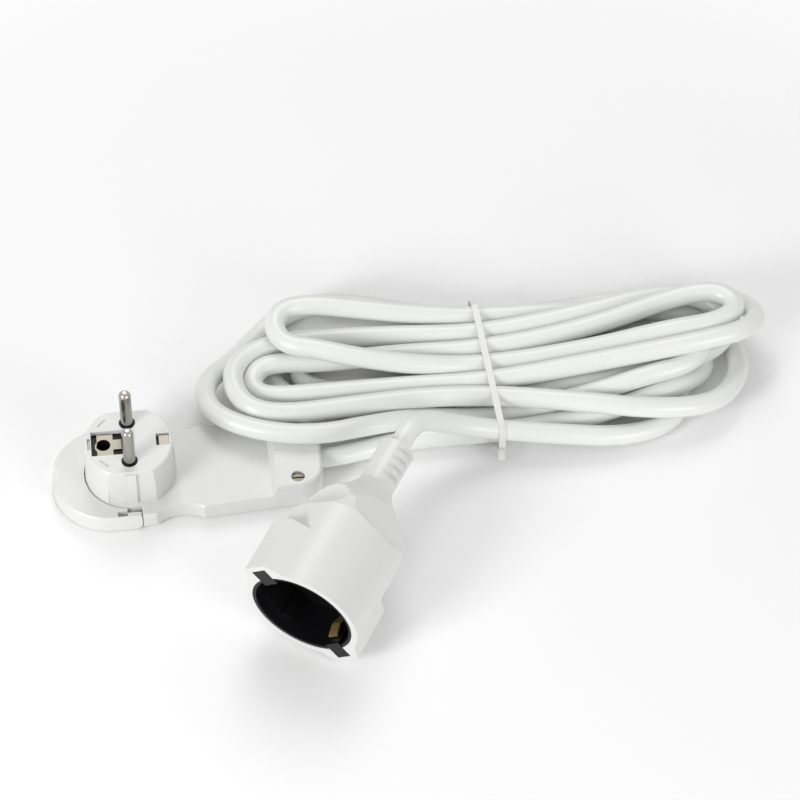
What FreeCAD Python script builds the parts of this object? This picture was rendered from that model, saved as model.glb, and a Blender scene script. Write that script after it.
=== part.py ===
import FreeCAD, Part
import Sketcher
import math
import os
from types import SimpleNamespace

doc = FreeCAD.newDocument("flat_plug_lead")

# Driving sizes in millimetres and degrees
SIZES = {
    # Plate, round body and end block of the plug
    "plate_thick": 8.0,
    "face_height": 27.0,
    "block_height": 13.0,
    "body_foot_radius": 18.2,
    "body_face_radius": 17.5,
    "split_x": 3.5,
    "shoulder_step": 0.4,
    "waist_start_x": 9.0,
    "waist_start_step": 0.3,
    "waist_end_x": 28.0,
    "waist_end_step": 1.7,
    "waist_radius": 16.6,
    "corner_x": 66.0,
    "corner_step": 4.6,
    "corner_radius": 10.0,
    "riser_foot_x": 55.0,
    "riser_top_x": 57.0,
    "edge_chamfer": 0.6,
    "block_edge_radius": 1.6,
    "back_edge_radius": 1.0,
    # Flat sides and their ribs
    "flat_depth": 3.0,
    "flat_width": 18.8,
    "rib_width": 4.0,
    "rib_proud": 0.9,
    "rib_below_face": 1.5,
    "mark_place": 10.0,
    "mark_run": 1.6,
    "mark_side": 0.35,
    "mark_depth": 0.5,
    # Walls, ceilings and the cavity
    "wall": 2.6,
    "ledge_inset": 1.4,
    "ceiling": 2.0,
    "plate_ceiling": 1.8,
    "flat_wall": 2.0,
    "cover_thick": 2.0,
    "cover_play": 0.15,
    # Pins and the contact carrier
    "pin_spacing": 19.0,
    "pin_dia": 4.8,
    "pin_root_dia": 5.6,
    "pin_reach": 19.0,
    "pin_dome": 1.8,
    "pin_dome_radius": 2.6,
    "pin_tip_dia": 1.4,
    "pin_neck_dia": 4.0,
    "pin_flange_dia": 6.4,
    "pin_flange_thick": 2.0,
    "pin_foot_z": 7.0,
    "pin_spigot_dia": 3.0,
    "pin_spigot": 1.4,
    "fit_play": 0.05,
    "collar_dia": 6.4,
    "carrier_play": 0.3,
    "carrier_foot_z": 11.0,
    # Earth plate with its tube, and the earth bracket
    "earth_x": -9.9,
    "earth_bore_dia": 5.6,
    "earth_tube_wall": 0.6,
    "earth_plate_drop": 1.2,
    "earth_plate_left": -12.4,
    "earth_plate_neck_x": -6.1,
    "earth_plate_right": -2.8,
    "earth_plate_half": 5.3,
    "earth_neck_half": 2.4,
    "window_left": -14.7,
    "window_right": -2.0,
    "window_half": 6.0,
    "metal_thick": 0.8,
    "bracket_width": 5.6,
    "bracket_proud": 1.0,
    "bracket_drop": 0.7,
    "bracket_fold": 4.0,
    "slit_half": 2.9,
    "slit_width": 1.1,
    "slit_play": 0.2,
    "gate_width": 5.2,
    "side_window_foot_z": 10.0,
    "side_window_drop": 3.0,
    "fine_slot": 0.7,
    # Handle and its hinge
    "handle_arm": 4.4,
    "handle_gap": 0.4,
    "handle_centre_x": -8.4,
    "handle_end_gap": 0.3,
    "axle_x": 0.2,
    "axle_z": 3.0,
    "axle_dia": 3.2,
    "axle_reach": 21.6,
    "axle_play": 0.08,
    "scoop_x": -38.0,
    "scoop_z": 12.0,
    "scoop_radius": 10.8,
    "arm_pocket_depth": 3.0,
    # Screws, bosses and the cord clamp
    "screw_x": 65.7,
    "screw_edge": 5.0,
    "screw_head_dia": 5.2,
    "screw_head": 2.0,
    "screw_recess": 3.0,
    "screw_dia": 3.0,
    "screw_foot_z": 3.0,
    "boss_dia": 8.0,
    "boss_foot_z": 8.2,
    "cover_boss_dia": 4.5,
    "clamp_x": 67.5,
    "clamp_length": 5.0,
    "clamp_half": 9.6,
    "clamp_foot_z": 1.1,
    "clamp_top_z": 4.0,
    "clamp_screw_half": 6.7,
    "clamp_screw_dia": 2.4,
    "clamp_head_dia": 4.4,
    "clamp_head": 1.5,
    "clamp_screw_top_z": 9.0,
    "clamp_boss_dia": 4.8,
    "post_dia": 2.8,
    # Cord and its cores
    "cord_dia": 8.4,
    "cord_z": 6.5,
    "cord_start_x": 63.5,
    "cord_play": 0.1,
    "core_dia": 2.6,
    "core_pitch": 2.3,
    "core_triad": 2.7,
    "core_start_z": 5.1,
    "core_low_z": 3.7,
    "core_run_z": 4.1,
    "core_straight": 2.5,
    "core_slope": 10.0,
    "core_spread": 1.4,
    "core_turn_reach": 4.0,
    "core_turn_share": 0.88,
    "core_turn_z": 4.2,
    "core_rise_x": 11.0,
    "earth_rise_x": 6.4,
    "lug_radius": 3.4,
    "barrel_dia": 3.6,
    "barrel_start_x": 3.0,
    "barrel_length": 6.0,
    "earth_lug_radius": 2.6,
    "earth_lug_x": -4.0,
    # Hank and the tie round it
    "hank_foot_z": 0.8,
    "hank_height": 15.1,
    "hank_rise": 7.5,
    "tie_x": 148.5,
    "tie_turn": 3.15,
    "tie_width": 2.6,
    "tie_thick": 0.6,
    "tie_left": -2.0,
    "tie_right": 72.2,
    "tie_foot": 0.1,
    "tie_top": 16.9,
    "tie_left_low": 7.0,
    "tie_left_high": 5.0,
    "tie_right_low": 5.0,
    "tie_right_high": 8.3,
    "neck_length": 16.0,
    # Coupler, measured along its own axis from the rim
    "coupler_x": 60.82,
    "coupler_y": -87.92,
    "coupler_z": 24.6,
    "coupler_yaw": -27.6609,
    "coupler_pitch": 47.172,
    "coupler_roll": -84.5641,
    "recess_radius": 19.7,
    "recess_depth": 17.5,
    "head_radius": 23.5,
    "head_length": 38.0,
    "head_hollow": 35.6,
    "throat_radius": 12.7,
    "relief_radius": 7.2,
    "relief_start": 64.0,
    "coupler_length": 83.5,
    "lug_reach": 28.0,
    "lug_tip_half": 5.7,
    "lug_foot_x": 20.0,
    "lug_foot_half": 11.0,
    "lug_length": 23.5,
    "rail_half": 3.7,
    "rail_outer": 25.7,
    "rail_inner": 17.9,
    "grip_radius": 14.0,
    "grip_centre": 30.0,
    "grip_place": 48.0,
    "groove_width": 2.0,
    "groove_depth": 1.1,
    "groove_pitch": 4.2,
    "groove_first": 67.0,
    "insert_length": 16.5,
    "cup_wall": 1.3,
    "cup_start": 0.3,
    "guide_start": 5.2,
    "guide_half": 17.2,
    "guide_notch_half": 3.0,
    "guide_notch_reach": 18.9,
    "contact_dia": 6.4,
    "contact_bore_dia": 5.2,
    "contact_start": 20.0,
    "contact_length": 13.0,
    "contact_tail_dia": 3.8,
    "contact_tail": 7.0,
    "bow_half": 17.2,
    "bow_width": 5.0,
    "bow_start": 3.0,
    "bow_bulge": 1.4,
    "coupler_cord_start": 57.5,
}

sheet = doc.addObject("Spreadsheet::Sheet", "Sizes")
for row, (name, number) in enumerate(SIZES.items(), start=1):
    sheet.set("A%d" % row, name)
    sheet.set("B%d" % row, str(number))
    sheet.setAlias("B%d" % row, name)
doc.recompute()

X_AXIS = FreeCAD.Vector(1, 0, 0)
Y_AXIS = FreeCAD.Vector(0, 1, 0)
Z_AXIS = FreeCAD.Vector(0, 0, 1)
QUARTER = 90
FULL_TURN = 360
OVERRUN = 5.0


class Size:
    """A number together with the sheet expression that gives it."""

    def __init__(self, number, text):
        self.number = number
        self.text = text

    def __add__(self, other):
        other = as_size(other)
        return Size(self.number + other.number, "(%s + %s)" % (self.text, other.text))

    def __sub__(self, other):
        other = as_size(other)
        return Size(self.number - other.number, "(%s - %s)" % (self.text, other.text))

    def __mul__(self, other):
        other = as_size(other)
        return Size(self.number * other.number, "(%s * %s)" % (self.text, other.text))

    def __truediv__(self, other):
        other = as_size(other)
        return Size(self.number / other.number, "(%s / %s)" % (self.text, other.text))

    def __neg__(self):
        return Size(-self.number, "(0 - %s)" % self.text)


def as_size(value):
    if isinstance(value, Size):
        return value
    return Size(float(value), repr(float(value)))


def leg(radius, other):
    """The second leg of a right triangle whose long side is the radius."""
    number = math.sqrt(radius.number ** 2 - other.number ** 2)
    return Size(number, "sqrt(%s ^ 2 - %s ^ 2)" % (radius.text, other.text))


s = SimpleNamespace(**{name: Size(float(sheet.get(name)), "Sizes." + name) for name in SIZES})

# Half widths that follow the round body outwards
s.handle_inner_radius = s.body_foot_radius + s.handle_gap
s.handle_half = s.handle_inner_radius + s.handle_arm
s.shoulder_half = s.handle_half - s.shoulder_step
s.waist_start_half = s.shoulder_half - s.waist_start_step
s.waist_end_half = s.shoulder_half - s.waist_end_step
s.corner_half = s.shoulder_half - s.corner_step
s.screw_half = s.corner_half - s.screw_edge

# Places that follow the round body inwards and the face downwards
s.flat_half = s.body_foot_radius - s.flat_depth
s.cavity_flat_half = s.flat_half - s.flat_wall
s.carrier_radius = s.body_foot_radius - s.wall - s.carrier_play
s.carrier_half_x = s.carrier_radius - s.carrier_play
s.carrier_half_y = s.cavity_flat_half - s.cord_play
s.bracket_half = s.carrier_half_x + s.bracket_proud
s.bracket_fold_x = s.bracket_half - s.bracket_fold
s.bracket_top_z = s.face_height - s.bracket_drop
s.slit_left = -(s.bracket_half + s.slit_play)
s.slit_right = s.slit_left + s.slit_width
s.gate_right = s.bracket_half + s.cord_play
s.gate_left = s.gate_right - s.gate_width
s.side_window_top_z = s.face_height - s.side_window_drop
nodes = []


def bind(item, **sizes):
    for key, value in sizes.items():
        item.setExpression(key, as_size(value).text)


def place(item, x, y, z, turn=None):
    if turn is not None:
        item.Placement = FreeCAD.Placement(FreeCAD.Vector(), turn)
    for key, value in zip("xyz", (x, y, z)):
        item.setExpression("Placement.Base." + key, as_size(value).text)


def turned(way):
    """The turn that points a primitive's own Z axis along X, Y or Z."""
    if way == "X":
        return FreeCAD.Rotation(Y_AXIS, QUARTER)
    if way == "Y":
        return FreeCAD.Rotation(X_AXIS, -QUARTER)
    return FreeCAD.Rotation()


def add(kind, name, owner):
    if owner is None:
        return doc.addObject("Part::" + kind.split(" ")[-1], name)
    return owner.newObject("PartDesign::" + kind.replace(" ", ""), name)


def cylinder(name, radius, height, x, y, z, way="Z", owner=None, kind="Subtractive"):
    item = add(kind + " Cylinder", name, owner)
    bind(item, Radius=radius, Height=height)
    place(item, x, y, z, turned(way))
    return item


def block(name, x, y, z, owner=None, kind="Subtractive"):
    """A box given by its low and high value along each axis."""
    item = add(kind + " Box", name, owner)
    low = [as_size(pair[0]) for pair in (x, y, z)]
    high = [as_size(pair[1]) for pair in (x, y, z)]
    bind(item, Length=high[0] - low[0], Width=high[1] - low[1], Height=high[2] - low[2])
    place(item, *low)
    return item


def both_sides(value):
    return (-as_size(value), as_size(value))


def new_body(name):
    body = doc.addObject("PartDesign::Body", name)
    body.Label = name
    nodes.append(body)
    return body


def as_node(item):
    item.Label = item.Name
    nodes.append(item)
    return item


def fuse(name, items):
    joined = doc.addObject("Part::MultiFuse", name)
    joined.Shapes = items
    return joined


def cut(name, base, tool):
    less = doc.addObject("Part::Cut", name)
    less.Base = base
    less.Tool = tool
    return less


def gather(name, items):
    group = doc.addObject("Part::Compound", name)
    group.Links = items
    return as_node(group)


def mirrored(name, source):
    twin = doc.addObject("Part::Mirroring", name)
    twin.Source = source
    twin.Normal = Y_AXIS
    return twin


def hold(drawing, constraint, size):
    index = drawing.addConstraint(constraint)
    drawing.setExpression("Constraints[%d]" % index, size.text)


def fix_point(drawing, geometry, end, x, y):
    """Ties a point to the drawing's origin by the two sizes, or to an axis where one is nought."""
    for value, rule, axis in ((x, "DistanceX", -2), (y, "DistanceY", -1)):
        if isinstance(value, Size):
            hold(drawing, Sketcher.Constraint(rule, -1, 1, geometry, end, value.number), value)
        else:
            drawing.addConstraint(Sketcher.Constraint("PointOnObject", geometry, end, axis))


def flat_point(corner):
    return FreeCAD.Vector(as_size(corner[0]).number, as_size(corner[1]).number, 0)


def draw_arc(drawing, start, end, radius, side):
    """An arc of the radius from start to end, its centre left (+1) or right (-1) of the way."""
    half = (end - start) * 0.5
    across = FreeCAD.Vector(-half.y, half.x, 0).normalize()
    rise = math.sqrt(max(radius.number ** 2 - half.Length ** 2, 0.0))
    centre = start + half + across * (rise * side)
    first = math.atan2(start.y - centre.y, start.x - centre.x)
    last = math.atan2(end.y - centre.y, end.x - centre.x)
    if side < 0:
        first, last = last, first
    if last < first:
        last += 2 * math.pi
    circle = Part.Circle(centre, Z_AXIS, radius.number)
    geometry = drawing.addGeometry(Part.ArcOfCircle(circle, first, last), False)
    hold(drawing, Sketcher.Constraint("Radius", geometry, radius.number), radius)
    return (geometry, 1, 2) if side > 0 else (geometry, 2, 1)


def draw_loop(drawing, corners):
    """A closed outline; a corner with a radius and a side starts an arc instead of a line."""
    ends = []
    for here, there in zip(corners, corners[1:] + corners[:1]):
        start = flat_point(here)
        end = flat_point(there)
        if len(here) == 2:
            geometry = drawing.addGeometry(Part.LineSegment(start, end), False)
            ends.append((geometry, 1, 2))
        else:
            ends.append(draw_arc(drawing, start, end, here[2], here[3]))
    for place_in_list, corner in enumerate(corners):
        geometry, first, last = ends[place_in_list]
        before, before_first, before_last = ends[place_in_list - 1]
        drawing.addConstraint(Sketcher.Constraint("Coincident", before, before_last, geometry, first))
        fix_point(drawing, geometry, first, corner[0], corner[1])


def draw_circle(drawing, x, y, radius):
    centre = flat_point((x, y))
    geometry = drawing.addGeometry(Part.Circle(centre, Z_AXIS, radius.number), False)
    hold(drawing, Sketcher.Constraint("Radius", geometry, radius.number), radius)
    fix_point(drawing, geometry, 3, x, y)


def sketch(body, name, role, loops, lift=None, circles=()):
    drawing = body.newObject("Sketcher::SketchObject", name)
    support = next(item for item in body.Origin.OriginFeatures if item.Role == role)
    drawing.AttachmentSupport = (support, "")
    drawing.MapMode = "FlatFace"
    if lift is not None:
        drawing.setExpression("AttachmentOffset.Base.z", as_size(lift).text)
    for loop in loops:
        draw_loop(drawing, loop)
    for x, y, radius in circles:
        draw_circle(drawing, x, y, radius)
    return drawing


def pad(body, name, profile, length, both=False):
    item = body.newObject("PartDesign::Pad", name)
    item.Profile = profile
    item.SideType = "Symmetric" if both else "One side"
    bind(item, Length=length)
    doc.recompute()
    return item


def volume_fell(item):
    doc.recompute()
    if not item.Shape.Volume < item.BaseFeature.Shape.Volume:
        raise RuntimeError(item.Name + " takes nothing away")
    return item


def pocket(body, name, profile, length, up=False, both=False):
    item = body.newObject("PartDesign::Pocket", name)
    item.Profile = profile
    item.SideType = "Symmetric" if both else "One side"
    item.Reversed = up
    bind(item, Length=length)
    return volume_fell(item)


def spin(body, name, profile):
    item = body.newObject("PartDesign::Revolution", name)
    item.Profile = profile
    item.ReferenceAxis = (profile, ["V_Axis"])
    item.Angle = FULL_TURN
    doc.recompute()
    return item


def dress(body, kind, name, size, wanted):
    """Rounds or bevels the edges of the body's tip that the test picks."""
    doc.recompute()
    base = body.Tip
    picked = [
        "Edge%d" % number
        for number, edge in enumerate(base.Shape.Edges, start=1)
        if wanted(edge)
    ]
    if not picked:
        raise RuntimeError(name + " finds no edge")
    item = body.newObject("PartDesign::" + kind, name)
    item.Base = (base, picked)
    bind(item, **{"Radius" if kind == "Fillet" else "Size": size})
    doc.recompute()
    return item


def level(edge, z, slack=1e-4):
    box = edge.BoundBox
    return abs(box.ZMin - z) < slack and abs(box.ZMax - z) < slack


def tube(name, points, diameter):
    """A round tube of straight runs joined by tangent arcs through hand-chosen corners."""
    corners = [FreeCAD.Vector(*point) for point in points]
    edges = []
    start = corners[0]
    radii = []
    for before, here, after in zip(corners, corners[1:], corners[2:]):
        way_in = (here - before).normalize()
        way_out = (after - here).normalize()
        turn = way_in.getAngle(way_out)
        shorter = min((here - before).Length, (after - here).Length)
        back = 0.45 * shorter
        radius = back / math.tan(turn / 2)
        radii.append(radius)
        arc_start = here - way_in * back
        arc_end = here + way_out * back
        middle = here + (way_out - way_in).normalize() * (
            math.hypot(radius, back) - radius
        )
        edges.append(Part.LineSegment(start, arc_start).toShape())
        edges.append(Part.Arc(arc_start, middle, arc_end).toShape())
        start = arc_end
    edges.append(Part.LineSegment(start, corners[-1]).toShape())
    spine = Part.Wire(edges)
    ring = Part.Circle(corners[0], corners[1] - corners[0], diameter.number / 2)
    section = Part.Wire(ring.toShape())
    shape = spine.makePipeShell([section], True, True)
    expected = math.pi * (diameter.number / 2) ** 2 * spine.Length
    if abs(shape.Volume / expected - 1) > 0.01:
        raise RuntimeError(name + " tube volume is off")
    print(name, "length", round(spine.Length, 1), "radii", [round(r, 1) for r in radii])
    item = doc.addObject("Part::Feature", name)
    item.Shape = shape
    return as_node(item)


# Outline of the plate, right of the hinge line, drawn any distance inside the outer edge
def plate_outline(inset):
    inset = as_size(inset)
    upper = [
        (s.split_x + inset, s.shoulder_half - inset),
        (s.waist_start_x, s.waist_start_half - inset, s.waist_radius + inset),
        (s.waist_end_x, s.waist_end_half - inset),
        (s.corner_x, s.corner_half - inset, s.corner_radius - inset),
        (s.corner_x + s.corner_radius - inset, s.corner_half - s.corner_radius),
    ]
    way_down = [
        upper[0],
        upper[1] + (1,),
        upper[2],
        upper[3] + (-1,),
        upper[4],
    ]
    way_back = [
        (upper[4][0], -upper[4][1], upper[3][2], -1),
        (upper[3][0], -upper[3][1]),
        (upper[2][0], -upper[2][1], upper[1][2], 1),
        (upper[1][0], -upper[1][1]),
        (upper[0][0], -upper[0][1]),
    ]
    return way_down + way_back


# White front shell: plate, round body and end block moulded as one hollow piece
shell = new_body("front_shell")
outline = sketch(shell, "shell_outline", "XY_Plane", [plate_outline(0)])
pad(shell, "shell_plate", outline, s.block_height)
end_x = s.corner_x + s.corner_radius
riser = [
    (0, s.plate_thick),
    (s.riser_foot_x, s.plate_thick),
    (s.riser_top_x, s.block_height),
    (s.riser_top_x, s.block_height + OVERRUN),
    (0, s.block_height + OVERRUN),
]
above_plate = sketch(shell, "shell_riser", "XZ_Plane", [riser])
pocket(shell, "shell_step", above_plate, s.handle_half * 3, both=True)
block_top = s.block_height.number
plate_top = s.plate_thick.number


def block_rim(edge):
    return level(edge, block_top) and edge.CenterOfMass.x > s.riser_top_x.number


def plate_rim(edge):
    inner = abs(edge.CenterOfMass.x - s.riser_foot_x.number) < 0.01
    return level(edge, plate_top) and not inner


dress(shell, "Fillet", "shell_block_edge", s.block_edge_radius, block_rim)
dress(shell, "Chamfer", "shell_plate_edge", s.edge_chamfer, plate_rim)
dress(shell, "Chamfer", "shell_back_edge", s.back_edge_radius, lambda edge: level(edge, 0))
cylinder("shell_disc", s.body_foot_radius, s.plate_thick, 0, 0, 0, owner=shell, kind="Additive")
cone = shell.newObject("PartDesign::AdditiveCone", "shell_body")
body_height = s.face_height - s.plate_thick
bind(cone, Radius1=s.body_foot_radius, Radius2=s.body_face_radius, Height=body_height)
place(cone, 0, 0, s.plate_thick)
doc.recompute()
dress(shell, "Chamfer", "shell_face_edge", s.edge_chamfer, lambda edge: level(edge, s.face_height.number))


def flat_cut(sign):
    side = s.flat_width / 2
    rib = s.rib_width / 2
    base = s.flat_half * sign
    crest = (s.flat_half + s.rib_proud) * sign
    outside = (s.body_foot_radius + OVERRUN) * sign
    return [
        (-side, base),
        (-rib, base),
        (-rib, crest),
        (rib, crest),
        (rib, base),
        (side, base),
        (side, outside),
        (-side, outside),
    ]


def rib_cut(sign):
    rib = s.rib_width / 2
    base = s.flat_half * sign
    outside = (s.body_foot_radius + OVERRUN) * sign
    return [(-rib, base), (rib, base), (rib, outside), (-rib, outside)]


flats = sketch(shell, "shell_flats", "XY_Plane", [flat_cut(1), flat_cut(-1)], lift=s.face_height)
pocket(shell, "shell_flat_sides", flats, body_height)
ribs = sketch(shell, "shell_ribs", "XY_Plane", [rib_cut(1), rib_cut(-1)], lift=s.face_height)
pocket(shell, "shell_rib_ends", ribs, s.rib_below_face)
axle_radius = s.axle_dia / 2
cylinder(
    "shell_axles", axle_radius, s.axle_reach * 2, s.axle_x, -s.axle_reach, s.axle_z,
    way="Y", owner=shell, kind="Additive",
)

ledge = sketch(shell, "shell_ledge", "XY_Plane", [plate_outline(s.ledge_inset)])
pocket(shell, "shell_cover_seat", ledge, s.cover_thick, up=True)
cylinder("shell_disc_seat", s.body_foot_radius - s.ledge_inset, s.cover_thick, 0, 0, 0, owner=shell)
hollow = sketch(shell, "shell_hollow", "XY_Plane", [plate_outline(s.wall)])
pocket(shell, "shell_plate_hollow", hollow, s.plate_thick - s.plate_ceiling, up=True)
block_inner = [
    (s.riser_top_x + s.ceiling, s.corner_half - s.wall),
    (s.corner_x, s.corner_half - s.wall, s.corner_radius - s.wall, -1),
    (end_x - s.wall, s.corner_half - s.corner_radius),
    (end_x - s.wall, s.corner_radius - s.corner_half, s.corner_radius - s.wall, -1),
    (s.corner_x, s.wall - s.corner_half),
    (s.riser_top_x + s.ceiling, s.wall - s.corner_half),
]
block_hollow = sketch(shell, "shell_block_inner", "XY_Plane", [block_inner])
block_ceiling = s.block_height - s.plate_ceiling
pocket(shell, "shell_block_hollow", block_hollow, block_ceiling, up=True)
cavity_radius = s.body_foot_radius - s.wall
cavity_x = leg(cavity_radius, s.cavity_flat_half)
round_inner = [
    (-cavity_x, -s.cavity_flat_half),
    (cavity_x, -s.cavity_flat_half, cavity_radius, 1),
    (cavity_x, s.cavity_flat_half),
    (-cavity_x, s.cavity_flat_half, cavity_radius, 1),
]
round_hollow = sketch(shell, "shell_round_inner", "XY_Plane", [round_inner])
cavity_top = s.face_height - s.ceiling
pocket(shell, "shell_round_hollow", round_hollow, cavity_top, up=True)

pin_half = s.pin_spacing / 2
collar_hole = s.collar_dia / 2 + s.fit_play


def rectangle(left, right, half):
    return [(left, -half), (right, -half), (right, half), (left, half)]


face_window = rectangle(s.window_left, s.window_right, s.window_half)
face_holes = sketch(
    shell, "shell_face_holes", "XY_Plane", [face_window], lift=s.face_height,
    circles=[(0, pin_half, collar_hole), (0, -pin_half, collar_hole)],
)
pocket(shell, "shell_face_openings", face_holes, s.ceiling)
slits = [
    rectangle(s.slit_left, s.slit_right, s.slit_half),
    rectangle(s.gate_left, s.gate_right, s.slit_half),
]
face_slits = sketch(shell, "shell_face_slits", "XY_Plane", slits, lift=s.face_height)
pocket(shell, "shell_slits", face_slits, s.face_height - s.side_window_top_z)
window_z = (s.side_window_foot_z, s.side_window_top_z)
window_y = both_sides(s.slit_half)
block("shell_window_right", (s.carrier_half_x, end_x), window_y, window_z, owner=shell)
shell.Tip.setExpression("Length", (s.body_foot_radius - s.carrier_half_x + OVERRUN / 2).text)
block(
    "shell_window_left", (-s.body_foot_radius - OVERRUN, -s.carrier_half_x), window_y, window_z,
    owner=shell,
)
cord_hole = s.cord_dia / 2 + s.cord_play
cylinder(
    "shell_cord_hole", cord_hole, s.wall + OVERRUN, end_x - s.wall - OVERRUN / 2, 0, s.cord_z,
    way="X", owner=shell,
)
for sign, side in ((1, "far"), (-1, "near")):
    screw_y = s.screw_half * sign
    clamp_y = s.clamp_screw_half * sign
    boss_height = block_ceiling - s.boss_foot_z
    cylinder(
        "shell_boss_" + side, s.boss_dia / 2, boss_height, s.screw_x, screw_y, s.boss_foot_z,
        owner=shell, kind="Additive",
    )
    cylinder(
        "shell_recess_" + side, s.screw_head_dia / 2 + s.cord_play, s.screw_recess + OVERRUN,
        s.screw_x, screw_y, s.block_height - s.screw_recess, owner=shell,
    )
    cylinder(
        "shell_screw_hole_" + side, s.screw_dia / 2 + s.cord_play, s.block_height,
        s.screw_x, screw_y, s.boss_foot_z - OVERRUN, owner=shell,
    )
    clamp_boss_foot = s.clamp_top_z + s.cover_play
    cylinder(
        "shell_clamp_boss_" + side, s.clamp_boss_dia / 2, block_ceiling - clamp_boss_foot,
        s.clamp_x, clamp_y, clamp_boss_foot, owner=shell, kind="Additive",
    )
    cylinder(
        "shell_clamp_pilot_" + side, s.clamp_screw_dia / 2 + s.fit_play,
        s.clamp_screw_top_z - s.clamp_foot_z, s.clamp_x, clamp_y, s.clamp_foot_z + s.fit_play * 4,
        owner=shell,
    )
doc.recompute()



def face_mark(sign):
    near = s.mark_place - s.mark_run
    far = s.mark_place + s.mark_run
    return [
        (-far - s.mark_side, (near + s.mark_side) * sign),
        (-far + s.mark_side, (near - s.mark_side) * sign),
        (-near + s.mark_side, (far - s.mark_side) * sign),
        (-near - s.mark_side, (far + s.mark_side) * sign),
    ]


marks = sketch(
    shell, "shell_face_marks", "XY_Plane", [face_mark(1), face_mark(-1)], lift=s.face_height,
)
pocket(shell, "shell_marks", marks, s.mark_depth)

# White back cover: flat plate with two screw bosses and four posts under the carrier
cover = new_body("back_cover")
cover_inset = s.ledge_inset + s.cover_play
cover_outline = sketch(cover, "cover_outline", "XY_Plane", [plate_outline(cover_inset)])
pad(cover, "cover_plate", cover_outline, s.cover_thick)
cylinder(
    "cover_disc", s.body_foot_radius - cover_inset, s.cover_thick, 0, 0, 0,
    owner=cover, kind="Additive",
)
clamp_room = s.cover_play * 2
block(
    "cover_clamp_room",
    (s.clamp_x - s.clamp_length / 2 - clamp_room, s.clamp_x + s.clamp_length / 2 + clamp_room),
    both_sides(s.clamp_half + s.cover_play),
    (s.clamp_foot_z - s.fit_play * 2, s.cover_thick + OVERRUN),
    owner=cover,
)
post_places = [
    (s.earth_x, s.cavity_flat_half * 0.72),
    (s.bracket_fold_x - 1, s.bracket_width),
]
for sign, side in ((1, "far"), (-1, "near")):
    screw_y = s.screw_half * sign
    cylinder(
        "cover_boss_" + side, s.cover_boss_dia / 2, s.boss_foot_z - s.cover_thick - s.fit_play,
        s.screw_x, screw_y, s.cover_thick, owner=cover, kind="Additive",
    )
    cylinder(
        "cover_pilot_" + side, s.screw_dia / 2 + s.fit_play, s.block_height,
        s.screw_x, screw_y, s.screw_foot_z - s.fit_play, owner=cover,
    )
    for number, (post_x, post_y) in enumerate(post_places, start=1):
        cylinder(
            "cover_post_%s_%d" % (side, number), s.post_dia / 2,
            s.carrier_foot_z - s.cover_thick, post_x, post_y * sign, s.cover_thick,
            owner=cover, kind="Additive",
        )
doc.recompute()

# White pull handle: horseshoe plate that swings on the two axles
handle = new_body("pull_handle")
arm_end = s.split_x - s.handle_end_gap
arm_inner = leg(s.handle_inner_radius, arm_end)
horseshoe = [
    (arm_end, s.handle_half),
    (s.handle_centre_x, s.handle_half, s.handle_half, 1),
    (s.handle_centre_x - s.handle_half, 0, s.handle_half, 1),
    (s.handle_centre_x, -s.handle_half),
    (arm_end, -s.handle_half),
    (arm_end, -arm_inner, s.handle_inner_radius, -1),
    (-s.handle_inner_radius, 0, s.handle_inner_radius, -1),
    (arm_end, arm_inner),
]
handle_outline = sketch(handle, "handle_outline", "XY_Plane", [horseshoe])
pad(handle, "handle_plate", handle_outline, s.plate_thick)
arm_end_x = arm_end.number


def arm_foot(edge):
    return level(edge, 0) and abs(edge.CenterOfMass.x - arm_end_x) < 0.01


def handle_top(edge):
    outer = math.hypot(edge.CenterOfMass.x, edge.CenterOfMass.y) > s.handle_inner_radius.number
    return level(edge, plate_top) and outer


dress(handle, "Fillet", "handle_arm_feet", arm_end - s.axle_x, arm_foot)
dress(handle, "Chamfer", "handle_top_edge", s.edge_chamfer, handle_top)
axle_hole = axle_radius + s.axle_play
hole_reach = s.axle_reach + s.cover_play
cylinder(
    "handle_axle_holes", axle_hole, hole_reach * 2, s.axle_x, -hole_reach, s.axle_z,
    way="Y", owner=handle,
)
scoop = handle.newObject("PartDesign::SubtractiveSphere", "handle_scoop")
bind(scoop, Radius=s.scoop_radius)
place(scoop, s.scoop_x, 0, s.scoop_z)
for sign, side in ((1, "far"), (-1, "near")):
    pockets = (
        ("outer", s.axle_x - 6.4, s.axle_x - 2.6, s.handle_half - 3.3, s.handle_half - 0.7),
        ("inner", s.axle_x - 2.6, arm_end + OVERRUN, s.handle_inner_radius - 1, s.handle_half - 2.4),
    )
    for label, left, right, low, high in pockets:
        span = (low, high) if sign > 0 else (-high, -low)
        block(
            "handle_pocket_%s_%s" % (label, side), (left, right), span,
            (s.plate_thick - s.arm_pocket_depth, s.plate_thick + OVERRUN), owner=handle,
        )
doc.recompute()

# Black contact carrier: holds the pins, collars stand in the face holes
carrier = new_body("contact_carrier")
carrier_y = leg(s.carrier_radius, s.carrier_half_x)
carrier_x = leg(s.carrier_radius, s.carrier_half_y)
puck = [
    (s.carrier_half_x, -carrier_y),
    (s.carrier_half_x, carrier_y, s.carrier_radius, 1),
    (carrier_x, s.carrier_half_y),
    (-carrier_x, s.carrier_half_y, s.carrier_radius, 1),
    (-s.carrier_half_x, carrier_y),
    (-s.carrier_half_x, -carrier_y, s.carrier_radius, 1),
    (-carrier_x, -s.carrier_half_y),
    (carrier_x, -s.carrier_half_y, s.carrier_radius, 1),
]
puck_outline = sketch(carrier, "carrier_outline", "XY_Plane", [puck], lift=s.carrier_foot_z)
pad(carrier, "carrier_puck", puck_outline, cavity_top - s.carrier_foot_z)
pin_seat_top = s.carrier_foot_z + s.pin_flange_thick + 1
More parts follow.
